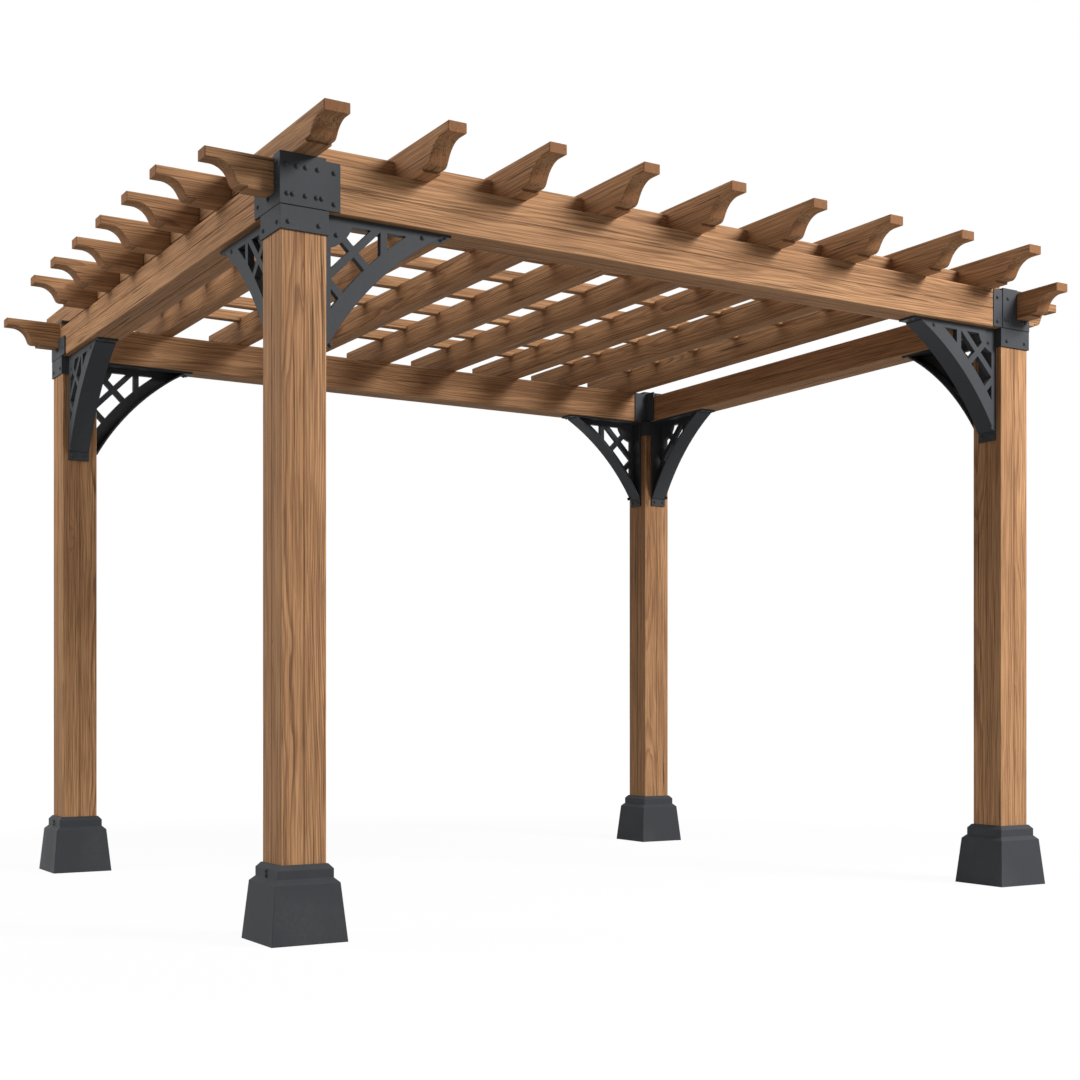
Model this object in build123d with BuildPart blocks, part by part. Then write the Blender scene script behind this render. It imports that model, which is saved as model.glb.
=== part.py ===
from build123d import *
from math import atan2, cos, degrees, sin, sqrt
import os

# A wooden pergola: four built-up posts on flared metal feet, four beams held by
# metal corner brackets, lattice braces, nine rafters with scroll-cut tails, a row
# of short tails on each side, and slats laid across the rafters.
# Millimetres. Z is up, the ground is z = 0, and the origin is the middle of the
# rectangle of posts. X runs along the longer side and -Y is the front.

os.makedirs("parts", exist_ok=True)

# Posts, the square timber that every other size is read from
post_width = 140
post_half = post_width / 2
post_x = 1445
post_y = 1165
post_top = 2100
edge_ease = 4
seam_width = 3
seam_depth = 2

# Flared foot of each post, a hollow metal cover
foot_width = 234
foot_shoulder_width = 201
foot_shoulder_z = 170
foot_collar_width = 172
foot_collar_z = 184
foot_collar_top_z = 210
foot_rim_width = 148
foot_rim_z = 224
foot_sheet = 5

# Beams lie on the post tops, flush with the posts' outer faces
beam_width = 120
long_beam_height = 140
side_beam_height = 120
beam_shift = post_half - beam_width / 2
beam_inner = beam_width - post_half
long_beam_top = post_top + long_beam_height
side_beam_top = post_top + side_beam_height

# Scroll-cut ends, shared by rafters and tails
tip_face = 30
scroll_round_share = 0.22
scroll_steepness = 0.86
timber_ease = 2.5

# Rafters run from front to back
rafter_width = 62
rafter_height = 104
rafter_reach = 302
rafter_scroll = 158
rafter_count = 8
rafter_first_inset = 373
rafter_last_inset = 145
edge_rafter_width = 80
edge_rafter_scroll = 125

# Short tails along the two sides, and the tails at the corners
tail_width = 62
tail_height = 92
tail_reach = 280
tail_scroll = 124
tail_count = 6
tail_pitch = 291.5
corner_tail_width = 60
corner_tail_height = 100
corner_tail_reach = 265

# Slats seated in shallow notches across the rafters
slat_width = 46
slat_height = 40
slat_notch = 13
slat_count = 6
slat_first_y = -688
slat_pitch = 307
slat_last_y = 1083
slat_overhang = 12

# Closing strip standing on the front beam, half-lapped with the rafters
strip_thickness = 38
strip_height = 84
strip_lap = 30
strip_y = -1101
strip_overhang = 46

# Corner brackets of folded sheet
sheet = 6
collar_sheet = 5
collar_height = 70
cap_thickness = 10
front_plate_reach = 66
front_wing_reach = 112
front_wing_drop = 8
side_wing_reach = 120
side_wing_height = 74
inner_leg = 70

# Lattice braces, drawn with u out from the post and v down from the beam
brace_leg = 420
brace_width = 80
brace_outer = 45
brace_flange = 8
brace_web = 20
brace_arc_start = 385
brace_sagitta = 37
brace_arc_flange = 7
brace_arc_band = 44
brace_top_band = 26
brace_post_band = 24
brace_disc = 95
brace_rib = 22
brace_cross_line = 194

bracket_half = post_half + sheet
collar_half = post_half + collar_sheet
bracket_top = long_beam_top + cap_thickness
edge_rafter_height = rafter_height - slat_notch - cap_thickness
edge_rafter_face = post_x - edge_rafter_width / 2
corner_tail_shift = post_half - corner_tail_width / 2
strip_end_x = post_x + strip_overhang
rafter_first_x = rafter_first_inset - post_x
rafter_last_x = post_x - rafter_last_inset
rafter_pitch = (rafter_last_x - rafter_first_x) / (rafter_count - 1)
rafter_places = [rafter_first_x + rafter_pitch * i for i in range(rafter_count)]
slat_places = [slat_first_y + slat_pitch * i for i in range(slat_count)] + [slat_last_y]
tail_places = [tail_pitch * (i - (tail_count - 1) / 2) for i in range(tail_count)]


def save(part, label):
    """Name one finished piece and write it to its own file."""
    part.label = label
    export_step(part, f"parts/{label}.step")


def to_corner(part, side_x, side_y):
    """Take a piece drawn for the front left corner to any corner."""
    if side_x > 0:
        part = mirror(part, about=Plane.YZ)
    if side_y > 0:
        part = mirror(part, about=Plane.XZ)
    return part.moved(Location((side_x * post_x, side_y * post_y, 0)))


# Posts with eased corners and a shallow seam down the middle of each face
def make_post():
    with BuildPart() as post:
        with BuildSketch():
            Rectangle(post_width, post_width)
            fillet(vertices(), edge_ease)
            with PolarLocations(post_half, 4):
                Rectangle(2 * seam_depth, seam_width, mode=Mode.SUBTRACT)
        extrude(amount=post_top)
    return post.part


# Foot cover: flared skirt, sloped shoulder, upright collar and chamfered rim,
# hollow below and open at the top for the post
def make_foot_cover():
    skirt = (0, foot_width, foot_shoulder_z, foot_shoulder_width)
    shoulder = (foot_shoulder_z, foot_shoulder_width, foot_collar_z, foot_collar_width)
    collar = (foot_collar_z, foot_collar_width, foot_collar_top_z, foot_collar_width)
    rim = (foot_collar_top_z, foot_collar_width, foot_rim_z, foot_rim_width)
    inside_low = foot_width - 2 * foot_sheet
    inside_high = foot_shoulder_width - 2 * foot_sheet
    hollow = (0, inside_low, foot_shoulder_z - foot_sheet, inside_high)
    with BuildPart() as cover:
        for stage in (skirt, shoulder, collar, rim, hollow):
            low_z, low_width, high_z, high_width = stage
            height = high_z - low_z
            lean = degrees(atan2((low_width - high_width) / 2, height))
            with BuildSketch(Plane.XY.offset(low_z)):
                Rectangle(low_width, low_width)
            extrude(amount=height, taper=lean, mode=Mode.SUBTRACT if stage is hollow else Mode.ADD)
        with BuildSketch():
            Rectangle(post_width, post_width)
        extrude(amount=foot_rim_z, mode=Mode.SUBTRACT)
    return cover.part


# The scroll cut under a timber's end. Below the blunt tip a short flat runs into a
# cove, the cove runs straight down into a tighter round, and the round stops at a
# small quirk over the soffit.
def scroll_end(tip, inward, height, length):
    """Draw the end's outline and give back its soffit point and its top point."""
    def at(u, v):
        return (tip + inward * u, v)

    low = at(length, 0)
    quirk = at(length, 0.08 * height)
    round_end = at(0.86 * length, 0.08 * height)
    high = at(0, height)
    # the run and rise of the scroll give its steepest slope, which is a share of the
    # one at which the two arcs would meet, the sum of its two radii, and the length
    # of the straight between them
    run = 0.61 * length
    rise = 0.92 * height - tip_face
    angle = scroll_steepness * 2 * atan2(rise, run)
    radii = (run * sin(angle) - rise * cos(angle)) / (1 - cos(angle))
    straight = (rise * sin(angle) - run * (1 - cos(angle))) / (1 - cos(angle))
    turn = inward * degrees(angle)
    Line(low, quirk)
    Line(quirk, round_end)
    lobe = JernArc(round_end, (-inward, 0), radii * scroll_round_share, -turn)
    fall = Line(lobe @ 1, lobe @ 1 + lobe % 1 * straight)
    cove = JernArc(fall @ 1, lobe % 1, radii * (1 - scroll_round_share), turn)
    Line(cove @ 1, at(0, height - tip_face))
    Line(at(0, height - tip_face), high)
    return low, high


def ease_outline(axis):
    """Ease the outline edges of both broad faces, found along the given axis."""
    broad = faces().sort_by(axis)
    chamfer(broad[0].edges() + broad[-1].edges(), timber_ease)


# Rafter: one board on edge, scroll-cut at both ends
def make_rafter(width, height, scroll):
    half_length = post_y + rafter_reach
    with BuildPart() as rafter:
        with BuildSketch(Plane.YZ):
            with BuildLine():
                low_front, high_front = scroll_end(-half_length, 1, height, scroll)
                low_back, high_back = scroll_end(half_length, -1, height, scroll)
                Line(low_front, low_back)
                Line(high_front, high_back)
            make_face()
        extrude(amount=width / 2, both=True)
        ease_outline(Axis.X)
    return rafter.part


# Inner rafters also have a seat for each slat and the lap over the front strip
def make_notched_rafter():
    with BuildPart() as rafter:
        add(make_rafter(rafter_width, rafter_height, rafter_scroll))
        with Locations(*[(0, y, rafter_height) for y in slat_places]):
            Box(2 * rafter_width, slat_width, 2 * slat_notch, mode=Mode.SUBTRACT)
        with Locations((0, strip_y, 0)):
            Box(2 * rafter_width, strip_thickness, 2 * strip_lap, mode=Mode.SUBTRACT)
    return rafter.part


# Tail: a short board with one scroll, square where it is fixed
def make_tail(width, height, length):
    with BuildPart() as tail:
        with BuildSketch(Plane.YZ):
            with BuildLine():
                low, high = scroll_end(-length, 1, height, tail_scroll)
                Polyline(low, (0, 0), (0, height), high)
            make_face()
        extrude(amount=width / 2, both=True)
        ease_outline(Axis.X)
    return tail.part


# Beam with a shallow seam along the middle of each face
def make_beam(length, height):
    with BuildPart() as beam:
        with BuildSketch(Plane.YZ):
            with Locations((0, height / 2)):
                Rectangle(beam_width, height)
                fillet(vertices(), edge_ease)
                with Locations((-beam_width / 2, 0), (beam_width / 2, 0)):
                    Rectangle(2 * seam_depth, seam_width, mode=Mode.SUBTRACT)
                with Locations((0, -height / 2), (0, height / 2)):
                    Rectangle(seam_width, 2 * seam_depth, mode=Mode.SUBTRACT)
        extrude(amount=length / 2, both=True)
    return beam.part


# Long beams run over the post tops, and each end is cut down to a scroll tail
def make_long_beam():
    half_length = post_x + post_half
    tail = make_tail(corner_tail_width, corner_tail_height, tail_reach - post_half + sheet)
    tail_z = long_beam_height - corner_tail_height
    with BuildPart() as beam:
        add(make_beam(2 * half_length, long_beam_height))
        for side in (-1, 1):
            with Locations((side * (half_length - sheet), beam_shift, tail_z)):
                add(tail, rotation=(0, 0, side * 90))
    return beam.part


# Corner bracket: a plate on the front with a thinner wing over the beam, a plate
# on the side slotted for the tail, a cap over the beams, a collar round the post
# top, and an angle in the inner corner
def make_bracket(front_tail):
    plate_height = bracket_top - post_top
    low_corner = (Align.MIN, Align.MIN)
    with BuildPart() as bracket:
        with BuildSketch(Plane.XY.offset(post_top - collar_height)):
            Rectangle(2 * collar_half, 2 * collar_half)
            Rectangle(post_width, post_width, mode=Mode.SUBTRACT)
        extrude(amount=collar_height)
        with BuildSketch(Plane.XY.offset(post_top)):
            with BuildLine():
                Polyline(
                    (front_plate_reach, -post_half),
                    (front_plate_reach, -bracket_half),
                    (-bracket_half, -bracket_half),
                    (-bracket_half, side_wing_reach),
                    (-post_half, side_wing_reach),
                    (-post_half, -post_half),
                    close=True,
                )
            make_face()
        extrude(amount=plate_height)
        with BuildSketch(Plane.XY.offset(post_top)):
            with Locations((0, -post_half)):
                Rectangle(front_wing_reach, sheet / 2, align=(Align.MIN, Align.MAX))
        extrude(amount=plate_height - front_wing_drop)
        with BuildSketch(Plane.XY.offset(post_top)):
            with Locations((beam_inner, beam_inner)):
                Rectangle(inner_leg, inner_leg, align=low_corner)
            with Locations((beam_inner + sheet, beam_inner + sheet)):
                Rectangle(inner_leg, inner_leg, align=low_corner, mode=Mode.SUBTRACT)
        extrude(amount=long_beam_height)
        with BuildSketch(Plane.XY.offset(long_beam_top)):
            with Locations((-bracket_half, -bracket_half)):
                cap_length = bracket_half + front_plate_reach
                cap_width = bracket_half + beam_inner + sheet
                Rectangle(cap_length, cap_width, align=low_corner)
        extrude(amount=cap_thickness)
        # behind the tail the side plate drops to a low wing
        with Locations((-bracket_half, corner_tail_width / 2, post_top + side_wing_height)):
            low_side = (Align.CENTER, Align.MIN, Align.MIN)
            Box(2 * sheet, side_wing_reach, plate_height, align=low_side, mode=Mode.SUBTRACT)
        # slots that the tails pass through
        with Locations((-bracket_half, 0, long_beam_top)):
            Box(2 * sheet, corner_tail_width, 2 * corner_tail_height, mode=Mode.SUBTRACT)
        if front_tail:
            with Locations((-corner_tail_shift, -bracket_half, long_beam_top)):
                Box(corner_tail_width, 2 * sheet, 2 * corner_tail_height, mode=Mode.SUBTRACT)
    return bracket.part


# Lattice brace: flat bars along the post, under the beam and round the arc, with a
# pierced web along their outer edge. The web has a corner disc, a rib along the
# diagonal, a rib across it, and two short ribs down to the arc.
def make_brace():
    arc_root = brace_flange / 2
    half_chord = (brace_arc_start - arc_root) / sqrt(2)
    arc_radius = (half_chord**2 + brace_sagitta**2) / (2 * brace_sagitta)
    chord_middle = (brace_arc_start + arc_root) / 2
    arc_place = chord_middle + (arc_radius - brace_sagitta) / sqrt(2)
    low_corner = (Align.MIN, Align.MIN)
    cross_middle = brace_cross_line / 2
    plane = Plane(
        origin=(post_half, -brace_outer, post_top),
        x_dir=(1, 0, 0),
        z_dir=(0, 1, 0),
    )
    with BuildPart() as brace:
        with BuildSketch(plane):
            Rectangle(brace_arc_start, brace_top_band, align=low_corner)
            Rectangle(brace_post_band, brace_arc_start, align=low_corner)
            Circle(brace_disc)
            with Locations((arc_place, arc_place)):
                Circle(arc_radius + brace_arc_band)
            with Locations((cross_middle, cross_middle)):
                Rectangle(brace_cross_line * sqrt(2), brace_rib, rotation=-45)
                Rectangle(brace_cross_line, brace_rib, rotation=45)
            with Locations((cross_middle / 2, cross_middle * 2.3)):
                Rectangle(brace_cross_line * 0.7, brace_rib, rotation=45)
            with Locations((brace_cross_line, cross_middle * 0.9)):
                Rectangle(brace_rib, brace_cross_line * 0.9)
            with Locations((0, 0)):
                Rectangle(brace_arc_start, brace_arc_start, align=low_corner, mode=Mode.INTERSECT)
            with Locations((arc_place, arc_place)):
                Circle(arc_radius, mode=Mode.SUBTRACT)
            Rectangle(collar_sheet, collar_height, align=low_corner, mode=Mode.SUBTRACT)
        extrude(amount=brace_web)
        with BuildSketch(plane):
            with Locations((arc_place, arc_place)):
                Circle(arc_radius)
                Circle(arc_radius - brace_arc_flange, mode=Mode.SUBTRACT)
            Rectangle(brace_arc_start, brace_arc_start, align=low_corner, mode=Mode.INTERSECT)
            Rectangle(brace_leg, brace_flange, align=low_corner)
            Rectangle(brace_flange, brace_leg, align=low_corner)
            joggle = collar_sheet + brace_flange
            Rectangle(joggle, collar_height + brace_flange, align=low_corner)
            Rectangle(collar_sheet, collar_height, align=low_corner, mode=Mode.SUBTRACT)
        extrude(amount=brace_width)
    return brace.part


# Slat: a plain eased batten across the rafters
def make_slat(length):
    with BuildPart() as slat:
        Box(length, slat_width, slat_height, align=(Align.MIN, Align.CENTER, Align.MIN))
        chamfer(edges().filter_by(Axis.X), timber_ease)
    return slat.part


# Closing strip: notched over each rafter's lap and over the bracket caps
def make_strip():
    start = -edge_rafter_face
    cap_end = post_x - front_plate_reach
    low = (Align.MIN, Align.CENTER, Align.MIN)
    with BuildPart() as strip:
        with Locations((start, 0, 0)):
            Box(strip_end_x - start, strip_thickness, strip_height, align=low)
        with Locations(*[(x, 0, strip_lap) for x in rafter_places]):
            high = (Align.CENTER, Align.CENTER, Align.MIN)
            Box(rafter_width, 2 * strip_thickness, strip_height, align=high, mode=Mode.SUBTRACT)
        for side in (-1, 1):
            with Locations((side * (cap_end + post_half), 0, 0)):
                Box(post_width, 2 * strip_thickness, 2 * cap_thickness, mode=Mode.SUBTRACT)
    return strip.part


# Four corners: post, foot cover, bracket and two braces each
post = make_post()
foot_cover = make_foot_cover()
front_brace = make_brace()
side_brace = mirror(front_brace, about=Plane(origin=(0, 0, 0), z_dir=(1, -1, 0)))
for side_y, row in ((-1, "front"), (1, "back")):
    for side_x, end in ((-1, "left"), (1, "right")):
        corner = f"{row}_{end}"
        bracket = make_bracket(front_tail=side_x > 0)
        save(to_corner(post, side_x, side_y), f"{corner}_post")
        save(to_corner(foot_cover, side_x, side_y), f"{corner}_foot_cover")
        save(to_corner(bracket, side_x, side_y), f"{corner}_bracket")
        save(to_corner(front_brace, side_x, side_y), f"{corner}_beam_brace")
        save(to_corner(side_brace, side_x, side_y), f"{corner}_side_brace")

# Beams: two long ones with tails, and two between them
long_beam = make_long_beam()
side_beam = make_beam(2 * (post_y - beam_inner), side_beam_height).rotate(Axis.Z, 90)
for side, name in ((-1, "front"), (1, "back")):
    placed = long_beam if side < 0 else mirror(long_beam, about=Plane.XZ)
    save(placed.moved(Location((0, side * (post_y + beam_shift), post_top))), f"{name}_beam")
for side, name in ((-1, "left"), (1, "right")):
    beam_x = side * (post_x + beam_shift)
    save(side_beam.moved(Location((beam_x, 0, post_top))), f"{name}_beam")

# Corner tails on the right, outside the long beams and level with their tops
corner_tail = make_tail(corner_tail_width, corner_tail_height, corner_tail_reach - post_half)
corner_tail_z = long_beam_top - corner_tail_height
for side, name in ((-1, "front"), (1, "back")):
    placed = corner_tail if side < 0 else mirror(corner_tail, about=Plane.XZ)
    tail_root = (post_x + corner_tail_shift, side * (post_y + post_half), corner_tail_z)
    save(placed.moved(Location(tail_root)), f"{name}_right_corner_tail")

# Rafters: a thick low one over the left beam, then eight notched ones
edge_rafter = make_rafter(edge_rafter_width, edge_rafter_height, edge_rafter_scroll)
save(edge_rafter.moved(Location((-post_x, 0, bracket_top))), "left_edge_rafter")
rafter = make_notched_rafter()
for number, x in enumerate(rafter_places, start=1):
    save(rafter.moved(Location((x, 0, long_beam_top))), f"rafter_{number}")

# Slats from the middle of the edge rafter's top to just past the last rafter
slat_end = rafter_places[-1] + rafter_width / 2 + slat_overhang
slat = make_slat(slat_end + post_x)
slat_z = long_beam_top + rafter_height - slat_notch
for number, y in enumerate(slat_places, start=1):
    save(slat.moved(Location((-post_x, y, slat_z))), f"slat_{number}")

strip = make_strip()
save(strip.moved(Location((0, strip_y, long_beam_top))), "front_strip")

# Side tails: on the left they lie on the beam and butt against the edge rafter, on
# the right they hang on the beam's outer face, level with its top
left_tail_root = post_x + edge_rafter_width / 2
right_tail_root = post_x + post_half
left_tail = make_tail(tail_width, tail_height, post_x + tail_reach - left_tail_root)
right_tail = make_tail(tail_width, tail_height, post_x + tail_reach - right_tail_root)
right_tail_z = side_beam_top - tail_height
for number, y in enumerate(tail_places, start=1):
    left_place = Location((-left_tail_root, y, side_beam_top), (0, 0, -90))
    right_place = Location((right_tail_root, y, right_tail_z), (0, 0, 90))
    save(left_tail.moved(left_place), f"left_tail_{number}")
    save(right_tail.moved(right_place), f"right_tail_{number}")
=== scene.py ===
# %% [markdown]
# A wooden pergola stands on four posts with flared metal feet. Its timber frame, its
# sheet metal brackets and its lattice braces come ready made from the CAD model, so
# this lesson gives them their looks: the grain of each board, the powder coat of the
# metal, and the bolts that the CAD model leaves out. First the frame is loaded.

import math

import bpy
import numpy as np
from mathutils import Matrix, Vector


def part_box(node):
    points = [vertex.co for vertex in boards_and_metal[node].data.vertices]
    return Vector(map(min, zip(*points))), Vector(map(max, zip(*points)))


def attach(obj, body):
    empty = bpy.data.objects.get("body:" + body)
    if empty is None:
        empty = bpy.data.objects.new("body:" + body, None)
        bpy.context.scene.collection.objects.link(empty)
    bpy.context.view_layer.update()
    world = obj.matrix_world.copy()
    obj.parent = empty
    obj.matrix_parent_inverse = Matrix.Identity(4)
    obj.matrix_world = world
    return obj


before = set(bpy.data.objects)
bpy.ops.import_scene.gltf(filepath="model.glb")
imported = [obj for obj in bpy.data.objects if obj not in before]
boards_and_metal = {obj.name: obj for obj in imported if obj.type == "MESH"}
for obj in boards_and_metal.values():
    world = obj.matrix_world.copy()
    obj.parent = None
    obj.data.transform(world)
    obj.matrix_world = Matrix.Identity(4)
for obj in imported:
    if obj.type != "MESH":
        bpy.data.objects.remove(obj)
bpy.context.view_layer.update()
print("pieces in the frame:", len(boards_and_metal))

# %% [markdown]
# Colours are easier to judge on a screen than in linear light, so they are written
# as screen values from 0 to 255 and turned into linear light once, by this helper.

# %% A colour from screen values
def paint(red, green, blue):
    """Linear light from screen values: each is divided by 255, then raised by the
    screen's own curve, which is ((v + 0.055) / 1.055) to the power 2.4 above a small
    straight start."""
    v = np.array([red, green, blue]) / 255
    linear = np.where(v > 0.04045, ((v + 0.055) / 1.055) ** 2.4, v / 12.92)
    return (*(float(c) for c in linear), 1.0)


print("middle grey in linear light:", [round(c, 3) for c in paint(128, 128, 128)])

# %% [markdown]
# Materials are graphs of nodes. A few short helpers keep the graphs readable: one
# puts down a node and fills its inputs, one does arithmetic, one fades a value from
# 0 to 1 between two limits, and one opens a new node group with named sockets.

# %% Helpers for node graphs
def put(tree, kind, inputs=None, **settings):
    """Puts down one node. An input is given by name or by number, as a plain value
    or as the output socket of another node."""
    node = tree.nodes.new("ShaderNode" + kind)
    for name, value in settings.items():
        setattr(node, name, value)
    for name, value in (inputs or {}).items():
        if isinstance(value, bpy.types.NodeSocket):
            tree.links.new(value, node.inputs[name])
        else:
            node.inputs[name].default_value = value
    return node


def sums(tree, operation, *values):
    """One step of arithmetic on numbers."""
    inputs = dict(enumerate(values))
    return put(tree, "Math", inputs, operation=operation).outputs[0]


def vectors(tree, operation, *values):
    """One step of arithmetic on vectors."""
    node = put(tree, "VectorMath", dict(enumerate(values)), operation=operation)
    return node.outputs["Value" if operation == "LENGTH" else "Vector"]


def fade(tree, value, low, high, start=0.0, end=1.0):
    """Goes smoothly from start to end while value goes from low to high, along the
    curve 3 t squared minus 2 t cubed."""
    limits = {"Value": value, "From Min": low, "From Max": high, "To Min": start, "To Max": end}
    return put(tree, "MapRange", limits, interpolation_type="SMOOTHSTEP").outputs["Result"]


def noise(tree, place, stretch, detail=2.0, rough=0.5):
    """Cloudy noise whose blobs are one over stretch long in each direction."""
    scaled = vectors(tree, "MULTIPLY", place, stretch)
    look = {"Vector": scaled, "Scale": 1.0, "Detail": detail, "Roughness": rough}
    return put(tree, "TexNoise", look).outputs


def blend(tree, share, first, second, way="MIX"):
    """Mixes two colours. A share of 0 is the first and 1 the second."""
    node = put(tree, "Mix", data_type="RGBA", blend_type=way)
    for number, value in ((0, share), (6, first), (7, second)):
        if isinstance(value, bpy.types.NodeSocket):
            tree.links.new(value, node.inputs[number])
        else:
            node.inputs[number].default_value = value
    return node.outputs[2]


def open_group(name, takes, gives):
    """Starts a node group and gives back its tree, its inputs and its outputs."""
    tree = bpy.data.node_groups.new(name, "ShaderNodeTree")
    for way, sockets in (("INPUT", takes), ("OUTPUT", gives)):
        for label, kind in sockets.items():
            tree.interface.new_socket(label, in_out=way, socket_type="NodeSocket" + kind)
    inside = tree.nodes.new("NodeGroupInput").outputs
    outside = tree.nodes.new("NodeGroupOutput").inputs
    return tree, inside, outside


print("helpers ready")

# %% [markdown]
# Wood is a stack of yearly rings round the heart of the tree. A board is a straight
# cut through them, so the long arches and stripes on its face come by themselves if
# the rings are made in three dimensions: the pattern is the distance from a heart
# line that runs along the board and wanders a little. Noise stretched along the
# board adds fibres, and thin dark lines of painted shade where checking cracks run.
# A knot is the root of a branch, and the rings flow round it. All of this is one
# node group, placed in every board.

# %% The grain of a board
grain, taken, given = open_group(
    "board_grain",
    {
        "Place": "Vector",
        "Heart": "Vector",
        "Seed": "Float",
        "Ring Width": "Float",
        "Wander": "Float",
        "Knot Size": "Float",
    },
    {"Rings": "Float", "Fibres": "Float", "Streaks": "Float", "Knots": "Float", "Height": "Float"},
)
lot = put(grain, "TexWhiteNoise", {"W": taken["Seed"]}, noise_dimensions="1D").outputs["Color"]
shifted = vectors(grain, "MULTIPLY_ADD", lot, (9.0, 5.0, 7.0), taken["Place"])

# the heart line: where it is in this board, and how it wanders along it, in long
# bends and in short ones, which draw the pointed arches on a board's face
heart_shift = vectors(grain, "MULTIPLY_ADD", lot, (0.0, 0.10, 0.10), (0.0, -0.05, -0.05))
long_bends = noise(grain, shifted, (0.8, 2.2, 2.2), detail=1.0)["Color"]
short_bends = noise(grain, shifted, (5.0, 6.0, 6.0), detail=1.0)["Color"]
bends = vectors(grain, "MULTIPLY_ADD", short_bends, (0.12, 0.12, 0.12), long_bends)
centred = vectors(grain, "SUBTRACT", bends, (0.56, 0.56, 0.56))
wander = vectors(grain, "SCALE", centred)
grain.links.new(taken["Wander"], wander.node.inputs["Scale"])
from_heart = vectors(grain, "SUBTRACT", taken["Place"], taken["Heart"])
from_heart = vectors(grain, "ADD", from_heart, heart_shift)
from_heart = vectors(grain, "ADD", from_heart, wander)
radius = vectors(grain, "LENGTH", vectors(grain, "MULTIPLY", from_heart, (0.0, 1.0, 1.0)))

# knots: scattered points, each with a dark core that the rings flow round
knot_stretch = (0.9, 5.0, 5.0)
cells = vectors(grain, "MULTIPLY", shifted, knot_stretch)
nearest = put(grain, "TexVoronoi", {"Vector": cells, "Scale": 1.0}).outputs["Position"]
to_knot = vectors(grain, "SUBTRACT", cells, nearest)
in_metres = vectors(grain, "DIVIDE", to_knot, knot_stretch)
oval = vectors(grain, "LENGTH", vectors(grain, "MULTIPLY", in_metres, (0.5, 1.0, 1.0)))
ragged = noise(grain, shifted, (60.0, 160.0, 160.0), detail=3.0)["Fac"]
size_now = sums(grain, "MULTIPLY_ADD", ragged, 0.8, sums(grain, "DIVIDE", oval, taken["Knot Size"]))
core = fade(grain, size_now, 0.6, 1.3, 1.0, 0.0)
long_oval = vectors(grain, "LENGTH", vectors(grain, "MULTIPLY", in_metres, (0.22, 1.0, 1.0)))
flow = fade(grain, sums(grain, "DIVIDE", long_oval, taken["Knot Size"]), 0.0, 3.2, 1.0, 0.0)

# rings: the distance from the heart, rippled and counted off in ring widths
ripple = noise(grain, shifted, (2.2, 30.0, 30.0), detail=3.0)["Fac"]
rippled = sums(grain, "MULTIPLY_ADD", ripple, 0.007, radius)
round_knot = sums(grain, "MULTIPLY_ADD", flow, 0.016, rippled)
years = sums(grain, "DIVIDE", round_knot, taken["Ring Width"])
part_of_year = sums(grain, "FRACT", years)
summer = fade(grain, part_of_year, 0.30, 0.84)
winter = fade(grain, part_of_year, 0.90, 1.0, 1.0, 0.0)
year_noise = put(grain, "TexNoise", {"W": years, "Scale": 0.45}, noise_dimensions="1D")
strength = fade(grain, year_noise.outputs["Fac"], 0.30, 0.68, 0.12, 1.0)
rings = sums(grain, "MULTIPLY", sums(grain, "MULTIPLY", summer, winter), strength)

# fibres, and the painted shade of checking cracks, both long and thin along the board
fibres = noise(grain, shifted, (4.0, 300.0, 300.0), detail=2.0, rough=0.7)["Fac"]
crack_noise = noise(grain, shifted, (2.0, 120.0, 120.0), detail=3.0, rough=0.55)["Fac"]
# painted shade: thin dark lines where checking cracks run, in place of the shade inside them
crack_shade = fade(grain, crack_noise, 0.62, 0.70)
hollow = sums(grain, "MULTIPLY_ADD", crack_shade, -0.6, sums(grain, "MULTIPLY", fibres, 0.5))
height = sums(grain, "MULTIPLY_ADD", rings, 0.35, hollow)
for label, value in (
    ("Rings", rings),
    ("Fibres", fibres),
    ("Streaks", crack_shade),
    ("Knots", core),
    ("Height", height),
):
    grain.links.new(value, given[label])
print("nodes in the grain group:", len(grain.nodes))

# %% [markdown]
# Posts and beams are glued up from four lengths of timber, and a fine seam runs down
# the middle of each face. The grain has to change at the seam. This group tells the
# four quarters apart, and its number goes into the seed of the grain.

# %% Quarters of a glued timber
quarters, taken, given = open_group("glued_quarters", {"Place": "Vector"}, {"Quarter": "Float"})
split = put(quarters, "SeparateXYZ", {0: taken["Place"]}).outputs
# two steps whose sums never repeat, so that each quarter has its own number
across_step = 3.7
up_step = 5.9
far_side = sums(quarters, "GREATER_THAN", split["Y"], 0.0)
upper_side = sums(quarters, "GREATER_THAN", split["Z"], 0.0)
number = sums(quarters, "MULTIPLY", upper_side, up_step)
number = sums(quarters, "MULTIPLY_ADD", far_side, across_step, number)
quarters.links.new(number, given["Quarter"])
print("quarters group made")

# %% [markdown]
# Handling and sun rub the sharp edges of a board pale first, and that pale rim is
# partly a painted highlight, the light that a rounded edge catches. Its ends take up
# water and go dark. Both follow from where a point is in the board: on a face, the
# distance to the nearest edge is the larger of the two distances to the sides.

# %% Worn edges with a painted highlight, and dark ends
wear_and_highlight, taken, given = open_group(
    "board_edges", {"Place": "Vector", "Half Size": "Vector"}, {"Edges": "Float", "Ends": "Float"}
)
inward = vectors(wear_and_highlight, "SUBTRACT", taken["Half Size"], vectors(wear_and_highlight, "ABSOLUTE", taken["Place"]))
inset = put(wear_and_highlight, "SeparateXYZ", {0: inward}).outputs
uneven = noise(wear_and_highlight, taken["Place"], (14.0, 60.0, 60.0), detail=3.0)["Fac"]
to_edge = sums(wear_and_highlight, "MULTIPLY_ADD", uneven, 0.006, sums(wear_and_highlight, "MAXIMUM", inset["Y"], inset["Z"]))
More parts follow.
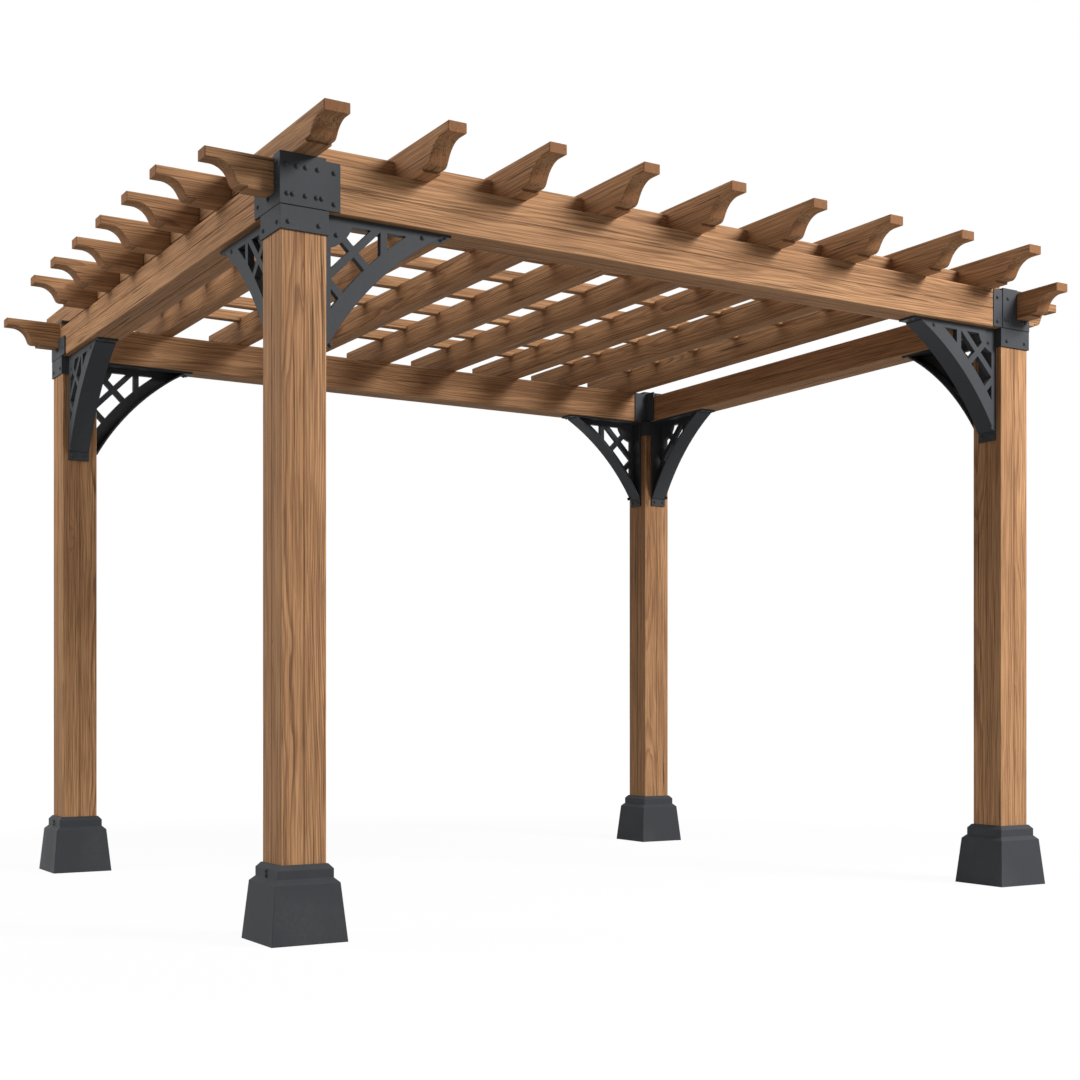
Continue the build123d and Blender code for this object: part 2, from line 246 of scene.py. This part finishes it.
# painted highlight: the pale edge mask is partly worn wood and partly painted light on the rounded edge
wear_and_highlight.links.new(fade(wear_and_highlight, to_edge, 0.003, 0.010, 1.0, 0.0), given["Edges"])
to_end = sums(wear_and_highlight, "MULTIPLY_ADD", uneven, 0.05, inset["X"])
wear_and_highlight.links.new(fade(wear_and_highlight, to_end, 0.02, 0.10, 1.0, 0.0), given["Ends"])
print("edge wear group made")

# %% [markdown]
# The stain is a warm brown that lets the grain through: pale tan between the rings,
# a redder brown in them, dark brown in knots, and a deeper tone on end grain, which
# soaks up more. Dark brown along the checking cracks is painted shade. No two boards
# are alike, so each board has a material of its own, with its own heart line, seed
# and depth of stain. A Mapping node lays the pattern along the board, whichever way
# the board runs.

# %% The stained timber
pale_tan = paint(196, 150, 108)
ring_brown = paint(118, 77, 46)
fibre_and_crack_shade_brown = paint(58, 33, 17)
knot_brown = paint(44, 25, 13)
end_brown = paint(118, 75, 43)
worn_and_highlight_tan = paint(204, 160, 116)
ring_share = 0.72
crack_shade_share = 0.78
knot_share = 0.9
wear_and_highlight_share = 0.35
end_face_share = 0.7
end_share = 0.25
heart_wander = 0.06
stain_tint = (1.0, 0.985, 0.97)
turns = {"x": (0.0, 0.0, 0.0), "y": (0.0, 0.0, math.pi / 2), "z": (0.0, -math.pi / 2, 0.0)}
chance = np.random.default_rng(1931)


def stained_timber(name, along, low, high, depth, glued, ring_width, knot_size):
    """Material for one board that runs along an axis. Low and high are the corners
    of its box, and depth makes the stain darker."""
    material = bpy.data.materials.new(name + "_timber")
    material.use_nodes = True
    tree = material.node_tree
    shader = tree.nodes["Principled BSDF"]
    low, high = np.array(low), np.array(high)
    order = {"x": (0, 1, 2), "y": (1, 0, 2), "z": (2, 1, 0)}[along]
    half = (high - low)[list(order)] / 2
    where = put(tree, "TexCoord").outputs["Object"]
    middle = tuple((low + high) / 2)
    lay = {"Vector": where, "Location": middle, "Rotation": turns[along]}
    place = put(tree, "Mapping", lay, vector_type="TEXTURE").outputs["Vector"]

    seed = float(chance.uniform(0, 50))
    if glued:
        joint = put(tree, "Group", node_tree=quarters)
        tree.links.new(place, joint.inputs["Place"])
        seed = sums(tree, "ADD", joint.outputs["Quarter"], seed)
    heart = (0.0, float(chance.uniform(0.05, 0.11)), float(chance.uniform(-0.06, 0.06)))
    look = put(tree, "Group", node_tree=grain)
    settings = {
        "Place": place,
        "Heart": heart,
        "Seed": seed,
        "Ring Width": ring_width,
        "Wander": heart_wander,
        "Knot Size": knot_size,
    }
    edges = put(tree, "Group", node_tree=wear_and_highlight)
    for node, inputs in ((look, settings), (edges, {"Place": place, "Half Size": tuple(half)})):
        for label, value in inputs.items():
            if isinstance(value, bpy.types.NodeSocket):
                tree.links.new(value, node.inputs[label])
            else:
                node.inputs[label].default_value = value
    out = look.outputs

    # end grain: the faces that look along the board
    facing = put(tree, "NewGeometry").outputs["True Normal"]
    direction = {"x": (1.0, 0.0, 0.0), "y": (0.0, 1.0, 0.0), "z": (0.0, 0.0, 1.0)}[along]
    toward = put(tree, "VectorMath", {0: facing, 1: direction}, operation="DOT_PRODUCT")
    end_face = fade(tree, sums(tree, "ABSOLUTE", toward.outputs["Value"]), 0.45, 0.9)

    cloud = noise(tree, place, (1.1, 9.0, 9.0), detail=2.0)["Fac"]
    tone = blend(tree, fade(tree, cloud, 0.3, 0.7, 0.0, 0.38), pale_tan, ring_brown)
    tone = blend(tree, sums(tree, "MULTIPLY", out["Rings"], ring_share), tone, ring_brown)
    tone = blend(tree, fade(tree, out["Fibres"], 0.36, 0.60, 0.50, 0.0), tone, fibre_and_crack_shade_brown)
    # painted shade of the checking cracks
    tone = blend(tree, sums(tree, "MULTIPLY", out["Streaks"], crack_shade_share), tone, fibre_and_crack_shade_brown)
    # pale edges: partly real wear, partly a painted highlight
    tone = blend(tree, sums(tree, "MULTIPLY", edges.outputs["Edges"], wear_and_highlight_share), tone, worn_and_highlight_tan)
    tone = blend(tree, sums(tree, "MULTIPLY", out["Knots"], knot_share), tone, knot_brown)
    tone = blend(tree, sums(tree, "MULTIPLY", end_face, end_face_share), tone, end_brown)
    tone = blend(tree, sums(tree, "MULTIPLY", edges.outputs["Ends"], end_share), tone, ring_brown)
    shade = float(1 - depth + chance.uniform(-0.05, 0.05))
    stain = (*(shade * part for part in stain_tint), 1.0)
    tone = blend(tree, 1.0, tone, stain, way="MULTIPLY")
    tree.links.new(tone, shader.inputs["Base Color"])
    rough = fade(tree, out["Rings"], 0.0, 1.0, 0.78, 0.66)
    tree.links.new(rough, shader.inputs["Roughness"])
    relief = put(tree, "Bump", {"Height": out["Height"], "Strength": 0.6, "Distance": 0.0015})
    tree.links.new(relief.outputs["Normal"], shader.inputs["Normal"])
    shader.inputs["Specular IOR Level"].default_value = 0.2
    return material


print("a board's material is ready to be made")

# %% [markdown]
# Now each board is looked up by its name, which also says which way it runs: posts
# stand, rafters and the side beams run from front to back, and the long beams, slats
# and side tails run from left to right. Assigning a material doesn't touch the mesh.

# %% Dress the boards
def dress(name, material):
    """Gives one CAD piece its material, in place of the plain one it came with."""
    mesh = boards_and_metal[name].data
    mesh.materials.clear()
    mesh.materials.append(material)


def board_kind(name):
    """The way a board runs, its depth of stain, whether it is glued up, its ring
    width and the size of its knots. None for metal."""
    if name.endswith("_post"):
        return "z", 0.0, True, 0.0048, 0.008
    if name in ("front_beam", "back_beam"):
        return "x", 0.0, True, 0.0050, 0.010
    if name in ("left_beam", "right_beam"):
        return "y", 0.02, True, 0.0050, 0.010
    if "rafter" in name:
        return "y", 0.06, False, 0.0048, 0.009
    if name.endswith("corner_tail"):
        return "y", 0.03, False, 0.0048, 0.007
    if "tail" in name:
        return "x", 0.02, False, 0.0046, 0.007
    if name.startswith("slat") or name == "front_strip":
        return "x", 0.03, False, 0.0044, 0.007
    return None


dressed = 0
for name in sorted(boards_and_metal):
    kind = board_kind(name)
    if kind is not None:
        along, depth, glued, ring_width, knot_size = kind
        low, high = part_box(name)
        dress(name, stained_timber(name, along, low, high, depth, glued, ring_width, knot_size))
        dressed += 1
print("boards dressed:", dressed)

# %% [markdown]
# The brackets, braces and foot covers are steel with a charcoal powder coat. Powder
# melts into a skin with a fine orange peel, satin rather than glossy. A little dust
# settles on it in soft clouds. The peel and the dust are one group, because three
# finishes use them.

# %% The powder coat
coat, taken, given = open_group(
    "powder_coat",
    {"Place": "Vector", "Peel": "Float"},
    {"Dust": "Float", "Gloss": "Float", "Height": "Float"},
)
peel = noise(coat, taken["Place"], (420.0, 420.0, 420.0), detail=2.0)["Fac"]
clouds = noise(coat, taken["Place"], (5.0, 5.0, 3.0), detail=4.0)["Fac"]
specks = noise(coat, taken["Place"], (90.0, 90.0, 90.0), detail=3.0)["Fac"]
dust = fade(coat, clouds, 0.42, 0.68)
dust = sums(coat, "MULTIPLY", dust, fade(coat, specks, 0.3, 0.7, 0.5, 1.0))
coat.links.new(dust, given["Dust"])
coat.links.new(fade(coat, clouds, 0.3, 0.7, 0.44, 0.58), given["Gloss"])
coat.links.new(sums(coat, "MULTIPLY", peel, taken["Peel"]), given["Height"])
print("powder coat group made")

# %% [markdown]
# Folded sheet has small round edges that catch the light, which the sharp CAD solids
# lack. The Bevel node bends the surface normal near an edge as if it were rounded,
# so the highlight is there and the mesh is left alone. On the brackets a dark line
# of painted shade marks the joint where the upper plates meet the collar.

# %% Charcoal finishes
charcoal = paint(62, 64, 67)
dusty_charcoal = paint(80, 82, 84)
joint_shade_black = paint(14, 15, 16)
joint_level = 2.100
shade_line_half = 0.0022


def charcoal_finish(name, peel_depth, joint=False):
    """Material for powder-coated steel, with or without the line of painted shade at the joint."""
    material = bpy.data.materials.new(name)
    material.use_nodes = True
    tree = material.node_tree
    shader = tree.nodes["Principled BSDF"]
    where = put(tree, "TexCoord").outputs["Object"]
    skin = put(tree, "Group", node_tree=coat)
    tree.links.new(where, skin.inputs["Place"])
    skin.inputs["Peel"].default_value = peel_depth
    tone = blend(tree, sums(tree, "MULTIPLY", skin.outputs["Dust"], 0.45), charcoal, dusty_charcoal)
    # painted shade: a dark line at the joint level, in place of the shadow in the gap between plate and
    # collar
    if joint:
        level = put(tree, "SeparateXYZ", {0: where}).outputs["Z"]
        off = sums(tree, "ABSOLUTE", sums(tree, "SUBTRACT", level, joint_level))
        tone = blend(tree, fade(tree, off, shade_line_half * 0.5, shade_line_half, 1.0, 0.0), tone, joint_shade_black)
    tree.links.new(tone, shader.inputs["Base Color"])
    tree.links.new(skin.outputs["Gloss"], shader.inputs["Roughness"])
    rounded = put(tree, "Bevel", {"Radius": 0.0022}, samples=4).outputs["Normal"]
    relief = put(tree, "Bump", {"Height": skin.outputs["Height"], "Strength": 0.3, "Distance": 0.0006})
    tree.links.new(rounded, relief.inputs["Normal"])
    tree.links.new(relief.outputs["Normal"], shader.inputs["Normal"])
    shader.inputs["Metallic"].default_value = 0.0
    shader.inputs["Specular IOR Level"].default_value = 0.08
    return material


bracket_finish = charcoal_finish("bracket_charcoal", 1.0, joint=True)
brace_finish = charcoal_finish("brace_charcoal", 1.0)
foot_finish = charcoal_finish("foot_charcoal", 1.2)
for name in boards_and_metal:
    if name.endswith("bracket"):
        dress(name, bracket_finish)
    elif name.endswith("brace"):
        dress(name, brace_finish)
    elif name.endswith("foot_cover"):
        dress(name, foot_finish)
print("metal finishes:", bracket_finish.name, brace_finish.name, foot_finish.name)

# %% [markdown]
# A bolt here has a round head on a thin washer. It could be turned by hand from a
# drawing, and that is just what a surface of revolution is: a profile carried round
# an axis. The profile is a few radii and heights, and the circle is a few points,
# since there are many bolts and each is small.

# %% The profile of one bolt head
head_radius = 0.0055
head_height = 0.0045
washer_radius = 0.0078
washer_height = 0.0012
sunk = 0.0015
sides = 12


def bolt_head():
    """Points, four-sided walls and three-sided fans of one bolt head about the z
    axis, with its foot sunk a little below z = 0. The dome's radius is the head
    radius times the cosine of an angle that goes from 0 to 90 degrees, and its height
    is the head height times the sine."""
    rise = np.linspace(0, math.pi / 2, 5)[:-1]
    dome_radii = head_radius * np.cos(rise)
    dome_levels = washer_height + head_height * np.sin(rise)
    radii = np.concatenate([[washer_radius, washer_radius], dome_radii])
    levels = np.concatenate([[-sunk, washer_height], dome_levels])
    turn = np.arange(sides) * 2 * math.pi / sides
    rings = np.stack(
        [
            np.outer(radii, np.cos(turn)),
            np.outer(radii, np.sin(turn)),
            np.repeat(levels[:, None], sides, axis=1),
        ],
        axis=-1,
    )
    poles = [[0, 0, washer_height + head_height], [0, 0, -sunk]]
    points = np.concatenate([rings.reshape(-1, 3), poles])
    grid = np.arange(len(radii) * sides).reshape(len(radii), sides)
    after = np.roll(grid, -1, axis=1)
    walls = np.stack([grid[:-1], after[:-1], after[1:], grid[1:]], axis=-1).reshape(-1, 4)
    top, foot = len(points) - 2, len(points) - 1
    crown = np.stack([grid[-1], after[-1], np.full(sides, top)], axis=-1)
    base = np.stack([after[0], grid[0], np.full(sides, foot)], axis=-1)
    return points, walls, np.concatenate([crown, base])


head_points, head_walls, head_fans = bolt_head()
print("faces on one bolt:", len(head_walls) + len(head_fans))

# %% [markdown]
# A set of bolts is one mesh: the head is copied to each place and turned so that it
# looks out of the plate. The places are written for the front left corner, in metres
# from the post's middle, and the other corners mirror them. A mirror turns a mesh
# inside out, so only the places and directions are mirrored, and each head is built
# anew with its own turn.

# %% A set of bolts
def facing_frame(outward):
    """Three axes for a head that looks along outward: two across it and itself. The
    first is the direction that outward has least of, made square to it."""
    outward = np.array(outward, float)
    helper = np.eye(3)[np.argmin(np.abs(outward))]
    across = np.cross(helper, outward)
    across /= np.linalg.norm(across)
    return np.stack([across, np.cross(outward, across), outward])


def bolt_set(name, places, finish):
    """One mesh with a head at each place. A place is a point and a direction, and a
    point of the head goes to the place plus its three parts along the head's axes."""
    points = np.concatenate(
        [head_points @ facing_frame(outward) + np.array(spot) for spot, outward in places]
    )
    first_points = np.arange(len(places))[:, None, None] * len(head_points)
    walls = (head_walls + first_points).reshape(-1, 4)
    fans = (head_fans + first_points).reshape(-1, 3)
    mesh = bpy.data.meshes.new(name)
    mesh.from_pydata(points.tolist(), [], [*walls.tolist(), *fans.tolist()])
    mesh.polygons.foreach_set("use_smooth", np.ones(len(mesh.polygons), bool))
    mesh.materials.append(finish)
    piece = bpy.data.objects.new(name, mesh)
    bpy.context.scene.collection.objects.link(piece)
    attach(piece, "root")
    return piece


def at_corner(places, side_x, side_y):
    """Takes places from the front left corner to another one."""
    flip = np.array([-side_x, -side_y, 1.0])
    post = np.array([side_x * post_x, side_y * post_y, 0.0])
    return [(np.array(spot) * flip + post, np.array(outward) * flip) for spot, outward in places]


post_low, post_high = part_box("front_right_post")
post_x, post_y = (post_low.x + post_high.x) / 2, -(post_low.y + post_high.y) / 2
post_half = (post_high.x - post_low.x) / 2
bolt_black = charcoal_finish("bolt_charcoal", 0.4)
print("post axes at", round(post_x, 3), round(post_y, 3))

# %% [markdown]
# On the photographed corner, the front plate has a row of bolts near its top and a
# row near its bottom, the wing beside it has one above the other, and so on round
# the corner. Each row is given by its level and by the places along it.

# %% Bolts on the brackets
plate_rise = 0.006
wing_rise = 0.003
collar_rise = 0.005
plate = post_half + plate_rise
wing = post_half + wing_rise
collar = post_half + collar_rise
front, side = (0, -1, 0), (-1, 0, 0)
upper_row, lower_row, collar_row = 2.212, 2.131, 2.052
corner_places = [
    *(((x, -plate, upper_row), front) for x in (-0.058, -0.025, 0.003, 0.040)),
    *(((x, -plate, lower_row), front) for x in (-0.054, -0.037, 0.002, 0.036, 0.052)),
    *(((0.092, -wing, z), front) for z in (upper_row, lower_row - 0.009)),
    *(((-plate, -0.052, z), side) for z in (upper_row + 0.010, 2.164)),
    *(((-plate, y, lower_row), side) for y in (0.014, 0.094)),
    *(((x, -collar, collar_row), front) for x in (-0.050, 0.044)),
    *(((-collar, y, collar_row), side) for y in (-0.050, 0.054)),
]
# at the right-hand corners a tail covers two of these places and crowds the others
beside_tail = {(0.003, upper_row), (0.002, lower_row)}
taken_by_tail = {(-0.058, upper_row), (-0.025, upper_row), *beside_tail}
corners = [(x, y) for x in (-1, 1) for y in (-1, 1)]
corner_names = {
    (x, y): ("front" if y < 0 else "back") + ("_left" if x < 0 else "_right") for x, y in corners
}
for side_x, side_y in corners:
    kept = [
        (spot, outward)
        for spot, outward in corner_places
        if not (side_x > 0 and outward == front and (spot[0], spot[2]) in taken_by_tail)
    ]
    made = bolt_set(
        corner_names[side_x, side_y] + "_bracket_bolts",
        at_corner(kept, side_x, side_y),
        bolt_black,
    )
    print(made.name, len(kept))

# %% [markdown]
# A brace is bolted through its web near the corner and near both tips, and through
# its flanges into the beam and into the post. The second brace of a corner is the
# first one mirrored across the diagonal, so its places swap x and y.

# %% Bolts on the braces
web = 0.045
brace_flange = 0.008
flange_below = joint_level - brace_flange
flange_beside = post_half + brace_flange
brace_places = [
    *(((x, -web, z), (0, -1, 0)) for x, z in ((0.112, 2.044), (0.392, 2.078), (0.092, 1.722))),
    *(((0.472, y, flange_below), (0, 0, -1)) for y in (-0.032, -0.006)),
    *(((flange_beside, y, 1.698), (1, 0, 0)) for y in (-0.032, 0.018)),
]
swap = [1, 0, 2]
across = [(np.array(spot)[swap], np.array(outward)[swap]) for spot, outward in brace_places]
for side_x, side_y in corners:
    both = at_corner(brace_places, side_x, side_y) + at_corner(across, side_x, side_y)
    made = bolt_set(corner_names[side_x, side_y] + "_brace_bolts", both, bolt_black)
    print(made.name, len(both))

# %% [markdown]
# The foot covers are held by two small screws in the outer side of the collar.

# %% Screws in the foot covers
foot_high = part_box("front_left_foot_cover")[1]
foot_collar = 0.086
foot_places = [((-foot_collar, 0.001, z), (-1, 0, 0)) for z in (0.192, 0.204)]
for side_x, side_y in corners:
    places = at_corner(foot_places, side_x, side_y)
    made = bolt_set(corner_names[side_x, side_y] + "_foot_screws", places, bolt_black)
print("foot cover reaches", round(foot_high.z, 3))

# %% [markdown]
# The photograph was taken low and close, with the camera level, so the posts stand
# upright in it. The camera's place and lens were worked out from the posts' feet and
# the beams. A level camera that still shows the roof needs its lens shifted up.

# %% The camera
camera_place = (-3.2549, -5.5126, 0.6776)
camera_turn = 0.5459
camera_lens = 53.642
lens_shift = 0.1533
camera = bpy.data.objects.new("camera", bpy.data.cameras.new("camera"))
bpy.context.scene.collection.objects.link(camera)
camera.location = camera_place
camera.rotation_euler = (math.pi / 2, 0, -camera_turn)
camera.data.sensor_width = 36
camera.data.lens = camera_lens
camera.data.shift_y = lens_shift
bpy.context.scene.camera = camera
print("camera looks", round(math.degrees(camera_turn), 1), "degrees to the right of straight in")

# %% [markdown]
# A studio floor is a pale sheet. Seen by the camera it should be the white of the
# page, and still hold the pergola's soft shadow, so its shader is mostly plain white
# light for the camera and partly a matt surface. The white share grows with the
# distance, so the shadow stays near the posts and the floor's far edge doesn't show.

# %% Floor and white background
def seen_directly(tree):
    """1 for rays that the camera sends, also by reflection or through glass."""
    rays = put(tree, "LightPath").outputs
    seen = sums(tree, "MAXIMUM", rays["Is Camera Ray"], rays["Is Glossy Ray"])
    return sums(tree, "MAXIMUM", seen, rays["Is Transmission Ray"])


reach = 60.0
floor_grey = 0.42
page_white = 1.06
near_distance, far_distance = 2.5, 6.0
near_share, far_share = 0.90, 1.0
floor_mesh = bpy.data.meshes.new("floor")
floor_mesh.from_pydata(
    [(-reach, -reach, 0), (reach, -reach, 0), (reach, reach, 0), (-reach, reach, 0)], [], [(0, 1, 2, 3)]
)
floor = bpy.data.objects.new("floor", floor_mesh)
bpy.context.scene.collection.objects.link(floor)
floor_material = bpy.data.materials.new("pale_floor")
floor_material.use_nodes = True
floor_tree = floor_material.node_tree
floor_tree.nodes.remove(floor_tree.nodes["Principled BSDF"])
matt = put(floor_tree, "BsdfDiffuse", {"Color": (floor_grey, floor_grey, floor_grey, 1)}).outputs[0]
white = put(floor_tree, "Emission", {"Color": (1, 1, 1, 1), "Strength": page_white}).outputs[0]
seen = seen_directly(floor_tree)
where = put(floor_tree, "TexCoord").outputs["Object"]
distance = vectors(floor_tree, "LENGTH", where)
share = fade(floor_tree, distance, near_distance, far_distance, near_share, far_share)
white_share = sums(floor_tree, "MULTIPLY", seen, share)
page = put(floor_tree, "MixShader", {0: white_share, 1: matt, 2: white})
floor_tree.links.new(page.outputs[0], floor_tree.nodes["Material Output"].inputs["Surface"])
floor_mesh.materials.append(floor_material)

world = bpy.data.worlds.new("studio")
bpy.context.scene.world = world
world.use_nodes = True
sky = world.node_tree
seen = seen_directly(sky)
room_light = 0.22
sky.nodes["Background"].inputs["Color"].default_value = (1, 1, 1, 1)
sky.links.new(fade(sky, seen, 0.0, 1.0, room_light, 1.0), sky.nodes["Background"].inputs["Strength"])
print("floor reaches", reach, "m and the room light is", room_light)

# %% [markdown]
# A large soft lamp at the front right, above the roof, gives the faces their form,
# and a weaker one at the left keeps the shaded sides readable. Both are as plain as
# window light, so a colour looks in the picture about as it was written.

# %% The lamps
def soft_lamp(name, spot, target, size, power):
    """A square area lamp at a spot, turned towards a target."""
    lamp = bpy.data.lights.new(name, "AREA")
    lamp.shape = "SQUARE"
    lamp.size = size
    lamp.energy = power
    holder = bpy.data.objects.new(name, lamp)
    bpy.context.scene.collection.objects.link(holder)
    holder.location = spot
    away = holder.location - type(holder.location)(target)
    holder.rotation_euler = away.to_track_quat("Z", "Y").to_euler()
    return holder


key = soft_lamp("key", spot=(3.9, -6.6, 5.6), target=(0, 0, 1.4), size=2.6, power=900)
fill = soft_lamp("fill", spot=(-4.8, 0.8, 3.4), target=(0, 0, 1.8), size=2.5, power=110)
print("lamps:", key.name, key.data.energy, fill.name, fill.data.energy)

# %% [markdown]
# Colours are shown as they are, without a film curve.

# %% Finish
bpy.context.scene.view_settings.view_transform = "Standard"
bpy.context.view_layer.update()
